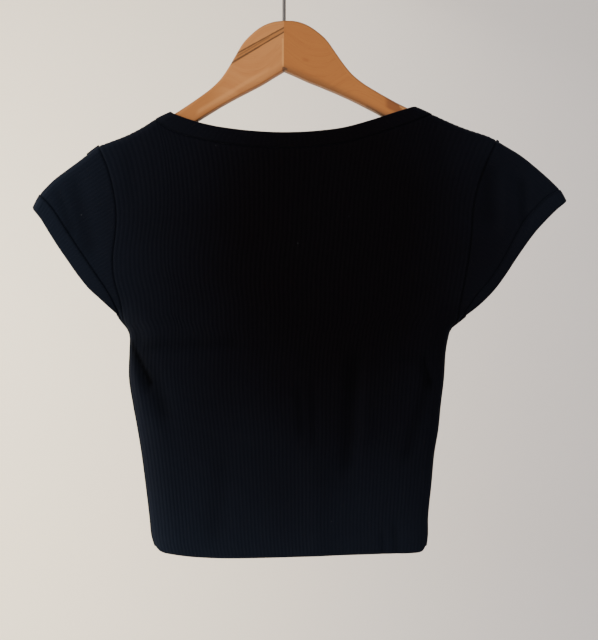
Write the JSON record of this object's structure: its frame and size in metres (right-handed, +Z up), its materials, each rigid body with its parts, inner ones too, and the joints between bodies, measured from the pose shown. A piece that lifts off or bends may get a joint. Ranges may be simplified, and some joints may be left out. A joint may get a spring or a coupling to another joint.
{
  "type": "crop top on a hanger",
  "caption": "Short black rib-knit top with cap sleeves and a wide boat neck, hung flat on a wooden hanger with a wire hook.",
  "frame": {"origin": "the point inside the crest of the hook where a rail carries the hanger", "axes": "+X to the right seen from the front, +Z up, the front of the top faces -Y"},
  "size_m": [0.5201, 0.0227, 0.59],
  "materials": {
    "rib_knit": "black fine rib knit, matt with a faint cool sheen",
    "rib_band": "black doubled rib band",
    "wood_light": "clear satin lacquer, pale grain with a darker streak",
    "wood_dark": "clear satin lacquer, warm brown grain",
    "hook_steel": "plated wire"
  },
  "bodies": {
    "root": {"front_panel": "rib_knit", "back_panel": "rib_knit", "sleeve_left": "rib_knit", "sleeve_right": "rib_knit", "cuff_left": "rib_band", "cuff_right": "rib_band", "neckband": "rib_band", "hanger_left": "wood_light", "hanger_right": "wood_dark", "hanger_hook": "hook_steel"}
  },
  "joints": []
}
